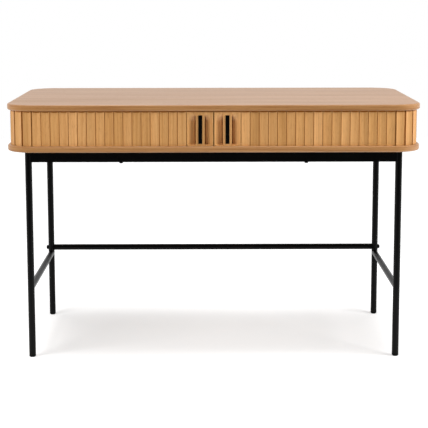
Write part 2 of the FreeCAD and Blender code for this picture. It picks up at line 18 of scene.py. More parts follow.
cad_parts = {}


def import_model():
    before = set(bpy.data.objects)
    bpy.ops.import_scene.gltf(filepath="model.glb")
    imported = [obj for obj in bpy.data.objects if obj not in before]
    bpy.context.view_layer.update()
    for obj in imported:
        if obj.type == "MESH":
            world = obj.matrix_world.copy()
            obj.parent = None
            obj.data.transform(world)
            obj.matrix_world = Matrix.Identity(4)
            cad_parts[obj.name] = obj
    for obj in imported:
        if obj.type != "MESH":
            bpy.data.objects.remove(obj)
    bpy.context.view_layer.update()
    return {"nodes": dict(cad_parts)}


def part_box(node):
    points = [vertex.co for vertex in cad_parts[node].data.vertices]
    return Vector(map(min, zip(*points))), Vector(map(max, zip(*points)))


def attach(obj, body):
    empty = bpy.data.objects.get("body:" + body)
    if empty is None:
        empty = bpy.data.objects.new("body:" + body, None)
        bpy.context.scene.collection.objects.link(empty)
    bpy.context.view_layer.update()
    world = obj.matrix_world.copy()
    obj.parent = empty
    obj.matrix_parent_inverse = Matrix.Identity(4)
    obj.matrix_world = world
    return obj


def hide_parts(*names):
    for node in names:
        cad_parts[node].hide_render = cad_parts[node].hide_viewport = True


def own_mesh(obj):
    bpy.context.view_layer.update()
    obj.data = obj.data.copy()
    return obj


MM = 0.001
NEAR = 1e-6
GRAIN_MAP = "grain"
BOARD_LAYER = "board"
ROOT_BODY = "desk"
# A Mix node's colour sockets share their names with others, so they go by number
MIX_SHARE = 0
MIX_FIRST = 6
MIX_SECOND = 7
MIX_COLOUR = 2
# X of the board layer is a board's tone, from -1, dark, to 1, pale. Below -1 the wood takes painted shade,
# under the top and in the slats' joints
BARE_TONE = -1.0
FULL_PAINTED_SHADE_TONE = -3.0
UNDER_TOP_SHADE_TONE = -2.8
JOINT_SHADE_TONE = -2.2
LOG = logging.getLogger("writing_desk")

Tree = bpy.types.NodeTree
Node = bpy.types.Node
Socket = bpy.types.NodeSocket
Material = bpy.types.Material
Piece = bpy.types.Object
Shape = bmesh.types.BMesh
Vert = bmesh.types.BMVert
Edge = bmesh.types.BMEdge
Face = bmesh.types.BMFace
Colour = tuple[float, float, float, float]
Pair = tuple[float, float]
Triple = tuple[float, float, float]

WHITE: Colour = (1.0, 1.0, 1.0, 1.0)


def linear(hex_colour: str) -> Colour:
    """Turn an sRGB hex colour into linear light.

    Args:
        hex_colour: Colour as #rrggbb.

    Returns:
        Linear red, green, blue and an alpha of 1.
    """
    channels = [int(hex_colour[i : i + 2], 16) / 255 for i in (1, 3, 5)]
    red, green, blue = (c / 12.92 if c <= 0.04045 else ((c + 0.055) / 1.055) ** 2.4 for c in channels)
    return red, green, blue, 1.0


def add_node(
    tree: Tree, kind: str, settings: Optional[dict[str, Any]] = None, inputs: Optional[dict[Any, Any]] = None
) -> Node:
    """Add a node with its settings, input values and links.

    Args:
        tree: Node tree that takes the node.
        kind: Blender's name for the node's type.
        settings: Attributes of the node.
        inputs: Values for its inputs, or output sockets to link to them, by name or number.

    Returns:
        The new node.
    """
    node = tree.nodes.new(kind)
    for name, value in (settings or {}).items():
        setattr(node, name, value)
    for key, value in (inputs or {}).items():
        if isinstance(value, Socket):
            tree.links.new(value, node.inputs[key])
        else:
            node.inputs[key].default_value = value
    return node


def new_material(name: str) -> tuple[Material, Tree, Node]:
    """Make a material with one Principled shader.

    Args:
        name: Name of the material.

    Returns:
        The material, its node tree and its Principled shader.
    """
    material = bpy.data.materials.new(name)
    material.use_nodes = True
    tree = material.node_tree
    return material, tree, tree.nodes["Principled BSDF"]


class Side(Enum):
    """Half of the desk that a piece belongs to; the value is the sign of its X."""

    LEFT = -1
    RIGHT = 1

    @property
    def prefix(self) -> str:
        """Start of the names of this half's pieces."""
        return self.name.lower() + "_"


class GrainRun(Enum):
    """Direction of a piece's grain: along one axis of the desk, or along the U of its grain map."""

    ALONG_X = 0
    ALONG_Y = 1
    ALONG_Z = 2
    ALONG_MAP = 3


class TrackFace(Enum):
    """Face of a board that has the slats' track; the value is the sign of the face's normal."""

    UNDERSIDE = -1
    UPPER = 1


@dataclass(frozen=True)
class WoodFinish:
    """Sanded wood under satin lacquer: growth lines, open pores and a sheen that pales at a low angle."""

    name: str
    pale: str
    deep: str
    pore: str
    run: GrainRun
    line_length_mm: float = 240.0
    line_width_mm: float = 5.0
    line_detail: float = 4.0
    line_range: Pair = (0.36, 0.7)
    band_length_mm: float = 700.0
    band_width_mm: float = 42.0
    band_detail: float = 2.0
    band_range: Pair = (0.3, 0.7)
    band_strength: float = 0.07
    # Pores of oak are about 0.3 mm wide: they are drawn 1.4 mm wide, so that they show in the render
    pore_length_mm: float = 17.0
    pore_width_mm: float = 1.4
    pore_detail: float = 2.0
    pore_range: Pair = (0.54, 0.76)
    pore_share: float = 0.5
    pore_depth_mm: float = 0.12
    pore_relief: float = 0.35
    # The lacquer is duller where it sinks into a pore
    pore_dullness: float = 0.25
    noise_roughness: float = 0.6
    noise_distortion: float = 0.35
    board_strength: float = 0.12
    # A board that is paler than the others is greyer as well
    board_fade: float = 0.02
    board_shift: Triple = (3.1, 3.7, 4.3)
    roughness: float = 0.42
    ior: float = 1.5
    gloss: float = 0.5
    # How much the gloss differs between bands of the grain
    gloss_strength: float = 0.0
    # Painted shade: the colour darkens in joints and hollows narrower than a slat is thick, where ambient
    # occlusion finds them
    recess: str = "#98560c"
    recess_mm: float = 6.0
    recess_samples: int = 8
    recess_range: Pair = (0.3, 0.9)
    recess_share: float = 0.4

    def stretch(self, length_mm: float, width_mm: float) -> Triple:
        """Scale of a pattern, per metre.

        Args:
            length_mm: Size of the pattern along the grain.
            width_mm: Its size across the grain.

        Returns:
            Scale for each axis of the coordinates.
        """
        scale = [1 / (width_mm * MM)] * 3
        scale[self.run.value % GrainRun.ALONG_MAP.value] = 1 / (length_mm * MM)
        return scale[0], scale[1], scale[2]

    def place(self, tree: Tree, board: Node) -> Socket:
        """Coordinates for the grain, shifted for each board.

        Args:
            tree: Node tree of the material.
            board: Node that reads the board layer.

        Returns:
            Socket with the coordinates in metres.
        """
        if self.run is GrainRun.ALONG_MAP:
            source = add_node(tree, "ShaderNodeUVMap", {"uv_map": GRAIN_MAP}).outputs["UV"]
        else:
            source = add_node(tree, "ShaderNodeTexCoord").outputs["Object"]
        spread = {"operation": "MULTIPLY_ADD"}
        ends = {0: board.outputs["Vector"], 1: self.board_shift, 2: source}
        return add_node(tree, "ShaderNodeVectorMath", spread, ends).outputs["Vector"]

    def pattern(self, tree: Tree, place: Socket, size_mm: Pair, detail: float) -> Socket:
        """Noise drawn out along the grain.

        Args:
            tree: Node tree of the material.
            place: Coordinates in metres.
            size_mm: Size of the pattern along and across the grain.
            detail: Number of finer layers.

        Returns:
            Socket with a value from 0 to 1.
        """
        scaled = add_node(
            tree, "ShaderNodeMapping", inputs={"Vector": place, "Scale": self.stretch(*size_mm)}
        ).outputs["Vector"]
        values = {
            "Vector": scaled,
            "Scale": 1.0,
            "Detail": detail,
            "Roughness": self.noise_roughness,
            "Distortion": self.noise_distortion,
        }
        return add_node(tree, "ShaderNodeTexNoise", inputs=values).outputs["Fac"]

    def banded(self, tree: Tree, bands: Socket, middle: float, strength: float) -> Socket:
        """Value that differs between bands of the grain.

        Args:
            tree: Node tree of the material.
            bands: The bands' pattern.
            middle: Value between the extremes.
            strength: How far the extremes lie from it, as a share of it.

        Returns:
            Socket with the value.
        """
        values = {
            "Value": bands,
            "From Min": self.band_range[0],
            "From Max": self.band_range[1],
            "To Min": middle * (1 - strength),
            "To Max": middle * (1 + strength),
        }
        return add_node(tree, "ShaderNodeMapRange", inputs=values).outputs["Result"]

    def stain_share(self, tree: Tree, tone: Socket) -> Socket:
        """Share of painted shade in the colour: in narrow hollows, and where the board layer asks for it.

        Args:
            tree: Node tree of the material.
            tone: Tone from the board layer.

        Returns:
            Socket with a value from 0 to 1.
        """
        openness = add_node(
            tree,
            "ShaderNodeAmbientOcclusion",
            {"samples": self.recess_samples, "only_local": True},
            {"Distance": self.recess_mm * MM},
        ).outputs["AO"]
        hollow = {
            "Value": openness,
            "From Min": self.recess_range[0],
            "From Max": self.recess_range[1],
            "To Min": self.recess_share,
            "To Max": 0.0,
        }
        painted = {"Value": tone, "From Min": BARE_TONE, "From Max": FULL_PAINTED_SHADE_TONE}
        first, second = (
            add_node(tree, "ShaderNodeMapRange", inputs=values).outputs[0] for values in (hollow, painted)
        )
        return add_node(tree, "ShaderNodeMath", {"operation": "MAXIMUM"}, {0: first, 1: second}).outputs[0]

    def colour(self, tree: Tree, board: Node, bands: Socket, lines: Socket, pores: Socket) -> Socket:
        """Colour of the wood: growth lines in the board's own tone, then its pores, then the painted shade.

        Args:
            tree: Node tree of the material.
            board: Node that reads the board layer.
            bands: The bands' pattern.
            lines: Share of the deep colour.
            pores: Share of the pores' colour.

        Returns:
            Socket with the colour.
        """
        lined = add_node(
            tree,
            "ShaderNodeMix",
            {"data_type": "RGBA"},
            {MIX_SHARE: lines, MIX_FIRST: linear(self.pale), MIX_SECOND: linear(self.deep)},
        ).outputs[MIX_COLOUR]
        tone = add_node(tree, "ShaderNodeSeparateXYZ", inputs={0: board.outputs["Vector"]}).outputs["X"]
        value, fullness = (
            add_node(
                tree, "ShaderNodeMath", {"operation": "MULTIPLY_ADD"}, {0: tone, 1: strength, 2: middle}
            ).outputs[0]
            for strength, middle in (
                (self.board_strength, self.banded(tree, bands, 1.0, self.band_strength)),
                (-self.board_fade, 1.0),
            )
        )
        mixed = add_node(
            tree, "ShaderNodeHueSaturation", inputs={"Saturation": fullness, "Value": value, "Color": lined}
        ).outputs[0]
        # The last mix paints shade into hollows and joints
        for share, other in ((pores, self.pore), (self.stain_share(tree, tone), self.recess)):
            mixed = add_node(
                tree,
                "ShaderNodeMix",
                {"data_type": "RGBA"},
                {MIX_SHARE: share, MIX_FIRST: mixed, MIX_SECOND: linear(other)},
            ).outputs[MIX_COLOUR]
        return mixed

    def material(self) -> Material:
        """Node material of this wood.

        Returns:
            The material.
        """
        material, tree, shader = new_material(self.name)
        board = add_node(tree, "ShaderNodeAttribute", {"attribute_name": BOARD_LAYER})
        place = self.place(tree, board)
        lines = self.pattern(tree, place, (self.line_length_mm, self.line_width_mm), self.line_detail)
        bands = self.pattern(tree, place, (self.band_length_mm, self.band_width_mm), self.band_detail)
        pores = self.pattern(tree, place, (self.pore_length_mm, self.pore_width_mm), self.pore_detail)
        marks = ((lines, self.line_range, 1.0), (pores, self.pore_range, self.pore_share))
        line_share, pore_share = (
            add_node(
                tree,
                "ShaderNodeMapRange",
                {"interpolation_type": "SMOOTHSTEP"},
                {"Value": value, "From Min": ends[0], "From Max": ends[1], "To Max": most},
            ).outputs["Result"]
            for value, ends, most in marks
        )
        dull = self.roughness + self.pore_dullness
        rough = add_node(
            tree, "ShaderNodeMapRange", inputs={"Value": pore_share, "To Min": self.roughness, "To Max": dull}
        ).outputs["Result"]
        relief = add_node(
            tree,
            "ShaderNodeBump",
            {"invert": True},
            {"Strength": self.pore_relief, "Distance": self.pore_depth_mm * MM, "Height": pore_share},
        ).outputs["Normal"]
        tree.links.new(self.colour(tree, board, bands, line_share, pore_share), shader.inputs["Base Color"])
        tree.links.new(rough, shader.inputs["Roughness"])
        tree.links.new(relief, shader.inputs["Normal"])
        shader.inputs["IOR"].default_value = self.ior
        shader.inputs["Specular IOR Level"].default_value = self.gloss
        if self.gloss_strength:
            gloss = self.banded(tree, bands, self.gloss, self.gloss_strength)
            tree.links.new(gloss, shader.inputs["Specular IOR Level"])
        return material


@dataclass(frozen=True)
class CoatFinish:
    """Even coat or moulding: one colour with a faint mottle, and a fine relief that softens highlights."""

    name: str
    colour: str
    worn: str
    roughness: float
    metallic: float = 0.0
    gloss: float = 0.5
    # Relief of powder coat is about 0.3 mm across: it is drawn coarser, so that it shows in a near view
    relief_mm: float = 0.9
    relief_detail: float = 1.0
    relief_depth_mm: float = 0.03
    relief_strength: float = 0.3
    mottle_mm: float = 45.0
    mottle_detail: float = 3.0
    mottle_roughness: float = 0.05

    def material(self) -> Material:
        """Node material of this coat.

        Returns:
            The material.
        """
        material, tree, shader = new_material(self.name)
        place = add_node(tree, "ShaderNodeTexCoord").outputs["Object"]
        sizes = ((self.mottle_mm, self.mottle_detail), (self.relief_mm, self.relief_detail))
        mottle, relief = (
            add_node(
                tree,
                "ShaderNodeTexNoise",
                inputs={"Vector": place, "Scale": 1 / (size_mm * MM), "Detail": detail},
            ).outputs["Fac"]
            for size_mm, detail in sizes
        )
        colour = add_node(
            tree,
            "ShaderNodeMix",
            {"data_type": "RGBA"},
            {MIX_SHARE: mottle, MIX_FIRST: linear(self.colour), MIX_SECOND: linear(self.worn)},
        ).outputs[MIX_COLOUR]
        rough = add_node(
            tree,
            "ShaderNodeMapRange",
            inputs={
                "Value": mottle,
                "To Min": self.roughness - self.mottle_roughness,
                "To Max": self.roughness + self.mottle_roughness,
            },
        ).outputs["Result"]
        bump = add_node(
            tree,
            "ShaderNodeBump",
            inputs={
                "Strength": self.relief_strength,
                "Distance": self.relief_depth_mm * MM,
                "Height": relief,
            },
        ).outputs["Normal"]
        tree.links.new(colour, shader.inputs["Base Color"])
        tree.links.new(rough, shader.inputs["Roughness"])
        tree.links.new(bump, shader.inputs["Normal"])
        shader.inputs["Metallic"].default_value = self.metallic
        shader.inputs["Specular IOR Level"].default_value = self.gloss
        return material


@dataclass(frozen=True)
class CanvasFinish:
    """Plain-woven cotton canvas: matt, with crossed threads."""

    name: str
    thread: str
    hollow: str
    # Canvas threads are about 0.6 mm apart: they are drawn 1.5 mm apart, so that they show in a near view
    thread_mm: float = 1.5
    relief_mm: float = 0.2
    relief_strength: float = 0.5
    roughness: float = 0.9

    def material(self) -> Material:
        """Node material of this canvas.

        Returns:
            The material.
        """
        material, tree, shader = new_material(self.name)
        place = add_node(tree, "ShaderNodeTexCoord").outputs["Object"]
        # A wave's period is 2 pi over 20 times its scale
        scale = 2 * math.pi / 20 / (self.thread_mm * MM)
        wefts, warps = (
            add_node(
                tree, "ShaderNodeTexWave", {"bands_direction": across}, {"Vector": place, "Scale": scale}
            ).outputs["Fac"]
            for across in ("Z", "DIAGONAL")
        )
        weave = add_node(tree, "ShaderNodeMath", {"operation": "MULTIPLY"}, {0: wefts, 1: warps}).outputs[0]
        colour = add_node(
            tree,
            "ShaderNodeMix",
            {"data_type": "RGBA"},
            {MIX_SHARE: weave, MIX_FIRST: linear(self.hollow), MIX_SECOND: linear(self.thread)},
        ).outputs[MIX_COLOUR]
        bump = add_node(
            tree,
            "ShaderNodeBump",
            inputs={"Strength": self.relief_strength, "Distance": self.relief_mm * MM, "Height": weave},
        ).outputs["Normal"]
        tree.links.new(colour, shader.inputs["Base Color"])
        tree.links.new(bump, shader.inputs["Normal"])
        shader.inputs["Roughness"].default_value = self.roughness
        return material


def finish_piece(bm: Shape, name: str, material: Material, sharp_degrees: float = 40.0) -> Piece:
    """Turn a bmesh into a piece at the origin, with smooth curves and flat faces.

    Args:
        bm: The shape, which is freed.
        name: Name of the piece.
        material: Its finish.
        sharp_degrees: Angle above which an edge stays sharp.

    Returns:
        The new object.
    """
    bmesh.ops.recalc_face_normals(bm, faces=bm.faces[:])
    mesh = bpy.data.meshes.new(name)
    bm.to_mesh(mesh)
    bm.free()
    mesh.shade_smooth()
    mesh.set_sharp_from_angle(angle=math.radians(sharp_degrees))
    mesh.materials.append(material)
    piece = bpy.data.objects.new(name, mesh)
    bpy.context.scene.collection.objects.link(piece)
    evened = piece.modifiers.new("even_normals", "WEIGHTED_NORMAL")
    evened.keep_sharp = True
    return piece


def stand_for(piece: Piece, body: str, slot: str, *nodes: str) -> None:
    """Let a piece move with a body and stand for CAD nodes.

    Args:
        piece: The finished piece.
        body: CAD body that carries it.
        slot: The record's material slot; not used.
        nodes: CAD nodes that it replaces.
    """
    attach(piece, body)
    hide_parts(*nodes)
    LOG.info("%s rides on %s, for %s", piece.name, body, ", ".join(nodes))


def add_block(bm: Shape, low: Iterable[float], high: Iterable[float]) -> list[Vert]:
    """Add a box between two corners.

    Args:
        bm: Shape that takes the box.
        low: Its lowest corner.
        high: Its highest corner.

    Returns:
        The box's vertices.
    """
    lowest = Vector(low)
    highest = Vector(high)
    place = Matrix.Translation((lowest + highest) / 2) @ Matrix.Diagonal((*(highest - lowest), 1.0))
    return bmesh.ops.create_cube(bm, size=1.0, matrix=place)["verts"]


def round_edges(bm: Shape, edges: list[Edge], radius: float, segments: int) -> None:
    """Round some edges of a shape.

    Args:
        bm: Shape that holds the edges.
        edges: Edges to round.
        radius: Radius of the round.
        segments: Faces across it.
    """
    bmesh.ops.bevel(
        bm,
        geom=edges,
        offset=radius,
        offset_type="OFFSET",
        segments=segments,
        profile=0.5,
        affect="EDGES",
        material=-1,
        clamp_overlap=True,
    )


def lift(bm: Shape, faces: list[Face], by: Vector) -> list[Vert]:
    """Extrude faces.

    Args:
        bm: Shape that holds the faces.
        faces: Faces to extrude.
        by: How far they move.

    Returns:
        The moved vertices.
    """
    edges = {e for f in faces for e in f.edges}
    corners = {v for f in faces for v in f.verts}
    made = bmesh.ops.extrude_face_region(bm, geom=[*corners, *edges, *faces])["geom"]
    verts = [g for g in made if isinstance(g, Vert)]
    bmesh.ops.translate(bm, verts=verts, vec=by)
    return verts


@dataclass
class Outline:
    """Rounded plan of the boards, which the slats follow inside it."""

    half_width: float = 600 * MM
    half_depth: float = 300 * MM
    radius: float = 80 * MM

    @property
    def front_run(self) -> float:
        """Half of the straight front."""
        return self.half_width - self.radius

    @property
    def side_run(self) -> float:
        """Length of a straight side."""
        return 2 * (self.half_depth - self.radius)

    def distance(self, x: float, y: float) -> float:
        """Distance of a point near the right-hand outline from the middle of the front.

        Args:
            x: Across, from 0 upwards.
            y: Depth.

        Returns:
            Length along the outline.
        """
        quarter = self.radius * math.pi / 2
        past_x = x - self.front_run
        past_y = abs(y) - self.side_run / 2
        if past_x <= 0:
            return x if y < 0 else 2 * (self.front_run + quarter) + self.side_run - x
        if past_y <= 0:
            return self.front_run + quarter + self.side_run / 2 + y
        if y < 0:
            return self.front_run + self.radius * math.atan2(past_x, past_y)
        return self.front_run + quarter + self.side_run + self.radius * math.atan2(past_y, past_x)

    def slat_place(self, run: float, back_inset: float) -> tuple[Vector, float]:
        """Place on the line of the right-hand slats' backs.

        Args:
            run: Distance along that line from the middle of the front.
            back_inset: How far the line lies inside the outline.

        Returns:
            The point, and its heading in radians.
        """
        past_front = max(run - self.front_run, 0.0)
        bend = self.radius - back_inset
        turn = min(past_front / bend, math.pi / 2)
        past_corner = max(past_front - bend * math.pi / 2, 0.0)
        x = min(run, self.front_run) + bend * math.sin(turn)
        y = -self.side_run / 2 - bend * math.cos(turn) + past_corner
        return Vector((x, y, 0.0)), turn


@dataclass
class Board:
    """Oak-veneered board with a rounded outline, eased rims, an edge band and a track for the slats."""

    name: str
    node: str
    track_face: TrackFace
    outline: Outline
    corner_segments: int = 28
    rim_ease: float = 4.5 * MM
    rim_segments: int = 6
    track_inset: float = 9.8 * MM
    track_width: float = 6.1 * MM
    track_depth: float = 5 * MM
    # The face's grain ends, and the edge band's begins, where the rim has turned this far from level
    band_limit: float = 0.7
    band_shift: float = 1.31

    def build(self) -> Shape:
        """Shape of the board.

        Returns:
            The board with its rims, track and grain map.
        """
        low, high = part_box(self.node)
        bm = bmesh.new()
        plan = [(low.x, low.y), (high.x, low.y), (high.x, high.y), (low.x, high.y)]
        bm.faces.new([bm.verts.new((x, y, low.z)) for x, y in plan])
        bmesh.ops.bevel(
            bm,
            geom=bm.verts[:],
            offset=self.outline.radius,
            offset_type="OFFSET",
            segments=self.corner_segments,
            profile=0.5,
            affect="VERTICES",
            material=-1,
        )
        lift(bm, bm.faces[:], Vector((0, 0, high.z - low.z)))
        bmesh.ops.recalc_face_normals(bm, faces=bm.faces[:])
        rims = [e for e in bm.edges if abs(e.verts[0].co.z - e.verts[1].co.z) < NEAR]
        round_edges(bm, rims, self.rim_ease, self.rim_segments)
        self.cut_track(bm)
        # The edge band's grain runs outwards from the middle, so the faces part there
        whole = bm.verts[:] + bm.edges[:] + bm.faces[:]
        bmesh.ops.bisect_plane(bm, geom=whole, dist=NEAR, plane_co=(0, 0, 0), plane_no=(1, 0, 0))
        self.lay_grain(bm)
        return bm

    def cut_track(self, bm: Shape) -> None:
        """Sink the slats' track into one face.

        Args:
            bm: Shape of the board.
        """
        facing = [f for f in bm.faces if f.normal.z * self.track_face.value > 0]
        face = max(facing, key=lambda f: f.calc_area())
        margin = self.track_inset - self.rim_ease
        bmesh.ops.inset_region(bm, faces=[face], thickness=margin, use_even_offset=True)
        ring = bmesh.ops.inset_region(bm, faces=[face], thickness=self.track_width, use_even_offset=True)
        lift(bm, ring["faces"], Vector((0, 0, -self.track_depth * self.track_face.value)))

    def lay_grain(self, bm: Shape) -> None:
        """Map the grain along the faces' length, and along the outline on the edge band.

        Args:
            bm: Shape of the board.
        """
        layer = bm.loops.layers.uv.new(GRAIN_MAP)
        bm.normal_update()
        for face in bm.faces:
            level = abs(face.normal.z) > self.band_limit
            half = math.copysign(1.0, face.calc_center_median().x)
            for loop in face.loops:
                x, y, z = loop.vert.co
                around = half * self.outline.distance(abs(x), y)
                loop[layer].uv = (x, y) if level else (around, z + self.band_shift)

    def dress(self, finish: Material) -> None:
        """Make the finished board, in the CAD board's place."""
        piece = finish_piece(self.build(), self.name, finish)
        stand_for(piece, ROOT_BODY, "oak_veneer", self.node)


@dataclass(frozen=True)
class SlatEnds:
    """Heights that slats and lead stiles share, their tongues in the tracks and their neck under the top."""

    bottom: float = 638.5 * MM
    top: float = 736 * MM
    tongue_bottom: float = 633.3 * MM
    tongue_top: float = 743.7 * MM
    shoulder: float = 1.5 * MM
    overlap: float = 1 * MM
    # The neck fills the gap under the top, and its tone paints the shade of the overhang
    neck_top: float = 738.6 * MM
    # The neck lies this far in front of the tongue and behind it
    neck_cover: float = 0.3 * MM

    def add(self, bm: Shape, depth: Pair, tongue: Pair, neck: Pair) -> None:
        """Add the tongues and the neck to a slat or a stile.

        Args:
            bm: Shape of the slat or stile.
            depth: Y of its face and of its back.
            tongue: X where its tongues start and end.
            neck: X where its neck starts and ends.
        """
        front = depth[0] + self.shoulder
        back = depth[1] - self.shoulder
        rise = self.top - self.overlap
        for low, high in ((self.tongue_bottom, self.bottom + self.overlap), (rise, self.tongue_top)):
            add_block(bm, (tongue[0], front, low), (tongue[1], back, high))
        cover = self.neck_cover
        add_block(bm, (neck[0], front - cover, rise), (neck[1], back + cover, self.neck_top))


@dataclass
class Tambour:
    """One half's curtain: narrow fluted slats on a canvas strip, from the lead stile round to the back."""

    side: Side
    outline: Outline
    seed: int
    ends: SlatEnds = SlatEnds()
    pitch: float = 26 * MM
    gap: float = 0.8 * MM
    thickness: float = 8 * MM
    face_inset: float = 9 * MM
    flute: float = 2.5 * MM
    flute_segments: int = 12
    lip: float = 1.5 * MM
    ease: float = 0.8 * MM
    ease_segments: int = 3
    # The joint is a shallow groove, below which the slats nearly touch
    groove: float = 0.9 * MM
    closing: float = 0.3 * MM
    tongue_width: float = 14 * MM
    lead_width: float = 78 * MM
    carried: int = 16
    count: int = 37
    canvas_start: float = 70.2 * MM
    canvas_gap: float = 0.05 * MM
    canvas_thickness: float = 0.8 * MM
    canvas_height: float = 84 * MM
    canvas_middle: float = 688.5 * MM
    canvas_dimple: float = 0.12 * MM
    gathered: float = 0.0005

    @property
    def back_inset(self) -> float:
        """Distance of the slats' backs inside the boards' outline."""
        return self.face_inset + self.thickness

    @property
    def gather_x(self) -> float:
        """Where an opening door's slats leave the straight front."""
        return self.side.value * (self.lead_width + self.carried * self.pitch)

    @property
    def half(self) -> float:
        """Half of a slat's width."""
        return (self.pitch - self.gap) / 2

    def blank(self) -> bpy.types.Mesh:
        """One slat with its back in the XZ plane and a fluted face.

        Returns:
            Mesh of the slat, with its neck and tongues.
        """
        bm = bmesh.new()
        half = self.half
        radius = ((half - self.lip) ** 2 + self.flute**2) / (2 * self.flute)
        turn = math.asin((half - self.lip) / radius)
        steps = [turn * (2 * i / self.flute_segments - 1) for i in range(self.flute_segments + 1)]
        deepest = self.flute - self.thickness
        wide = half + self.closing
        step = self.groove - self.thickness
        plan = [(wide, step), (wide, 0.0), (-wide, 0.0), (-wide, step), (-half, step)]
        plan += [(-half, -self.thickness)]
        plan += [(radius * math.sin(a), deepest - radius * (1 - math.cos(a))) for a in steps]
        plan += [(half, -self.thickness), (half, step)]
        bm.faces.new([bm.verts.new((x, y, self.ends.bottom)) for x, y in plan])
        lift(bm, bm.faces[:], Vector((0, 0, self.ends.top - self.ends.bottom)))
        bmesh.ops.recalc_face_normals(bm, faces=bm.faces[:])
        rims = {v for v in bm.verts if abs(v.co.x) > half - NEAR and v.co.y < NEAR - self.thickness}
        round_edges(bm, [e for e in bm.edges if rims.issuperset(e.verts)], self.ease, self.ease_segments)
        tongue = (-self.tongue_width / 2, self.tongue_width / 2)
        self.ends.add(bm, (-self.thickness, 0.0), tongue, (-half, half))
        mesh = bpy.data.meshes.new("slat_blank")
        bm.to_mesh(mesh)
        bm.free()
        return mesh

    def stain(self, place: Vector) -> float:
        """Highest tone at a place on a slat blank, with painted shade below -1.

        Args:
            place: Middle of a face of the blank.

        Returns:
            The painted-shade tone of an end or of a joint, or 1 elsewhere.
        """
        if place.z > self.ends.top + NEAR:
            return UNDER_TOP_SHADE_TONE
        at_side = abs(place.x) > self.half - self.ease
        return JOINT_SHADE_TONE if at_side and place.y < self.groove - self.thickness + NEAR else 1.0

    def row(self, first: int, last: int) -> Shape:
        """Slats between two numbers, counted outwards from the lead stile, each with a tone of its own.

        Args:
            first: Number of the first slat.
            last: Number after the last slat.

        Returns:
            Shape of the slats.
        """
        draw = random.Random(self.seed + first)
        blank = self.blank()
        shade_tones = [self.stain(polygon.center) for polygon in blank.polygons]
        bm = bmesh.new()
        layer = bm.faces.layers.float_vector.new(BOARD_LAYER)
        for number in range(first, last):
            verts = len(bm.verts)
            faces = len(bm.faces)
            bm.from_mesh(blank)
            bm.verts.ensure_lookup_table()
            bm.faces.ensure_lookup_table()
            middle = self.lead_width + (number + 0.5) * self.pitch
            place, turn = self.outline.slat_place(middle, self.back_inset)
            place.x *= self.side.value
            turned = Matrix.Rotation(turn * self.side.value, 4, "Z")
            bmesh.ops.transform(bm, matrix=Matrix.Translation(place) @ turned, verts=bm.verts[verts:])
            tone = Vector((draw.uniform(-1, 1), draw.uniform(0, 1), draw.uniform(0, 1)))
            for face, stain in zip(bm.faces[faces:], shade_tones):
                face[layer] = Vector((min(tone.x, stain), tone.y, tone.z))
        bpy.data.meshes.remove(blank)
        return bm

    def canvas(self, start: float, end: float) -> tuple[Shape, float]:
        """Canvas strip behind the slats, drawn a little into each joint.

        Args:
            start: Distance along the slats' backs where it begins.
            end: Distance where it ends.

        Returns:
            Shape of the strip, and its length.
        """
        halves = int((end - self.lead_width) / (self.pitch / 2) + NEAR)
        runs = [self.lead_width + i * self.pitch / 2 for i in range(halves + 1)]
        runs = [start] + [r for r in runs if start + NEAR < r < end - NEAR] + [end]
        bm = bmesh.new()
        edges: list[Edge] = []
        previous = Vector()
        length = 0.0
        for run in runs:
            point, turn = self.outline.slat_place(run, self.back_inset)
            at_joint = abs((run - self.lead_width) / self.pitch % 1.0) < NEAR
            depth = self.canvas_gap + (0.0 if at_joint else self.canvas_dimple)
            point += Vector((-math.sin(turn), math.cos(turn), 0.0)) * depth
            point.x *= self.side.value
            if edges:
                made = bmesh.ops.extrude_edge_only(bm, edges=edges)["geom"]
                edges = [g for g in made if isinstance(g, Edge)]
                verts = [g for g in made if isinstance(g, Vert)]
                bmesh.ops.translate(bm, verts=verts, vec=point - previous)
                length += (point - previous).length
            else:
                reach = Vector((0, 0, self.canvas_height / 2))
                middle = point + Vector((0, 0, self.canvas_middle))
                edges = [bm.edges.new((bm.verts.new(middle - reach), bm.verts.new(middle + reach)))]
            previous = point
        bmesh.ops.recalc_face_normals(bm, faces=bm.faces[:])
        inward = sum(f.normal.y - self.side.value * f.normal.x for f in bm.faces)
        if inward < 0:
            bmesh.ops.reverse_faces(bm, faces=bm.faces[:])
        bmesh.ops.solidify(bm, geom=bm.faces[:], thickness=-(self.canvas_thickness - self.canvas_dimple))
        return bm, length

    def dress(self, oak: Material, canvas: Material) -> None:
        """Make the carried and the standing slats and their canvas, in the CAD curtain's place.

        Args:
            oak: Finish of the slats.
            canvas: Finish of the strips behind them.
        """
        front_end = self.lead_width + self.carried * self.pitch
        tail = self.lead_width + self.count * self.pitch
        parts = {"front": (0, self.carried, self.canvas_start), "side": (self.carried, self.count, front_end)}
        for part, (first, last, start) in parts.items():
            name = f"{self.side.prefix}{part}_"
            slats = finish_piece(self.row(first, last), name + "tambour", oak)
            stand_for(slats, ROOT_BODY, "oak_slat", name + "slats")
            shape, length = self.canvas(start, front_end if part == "front" else tail)
            strip = finish_piece(shape, name + "backing", canvas)
            stand_for(strip, ROOT_BODY, "canvas", name + "canvas")
            if part == "front":
                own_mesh(slats)
                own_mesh(strip)


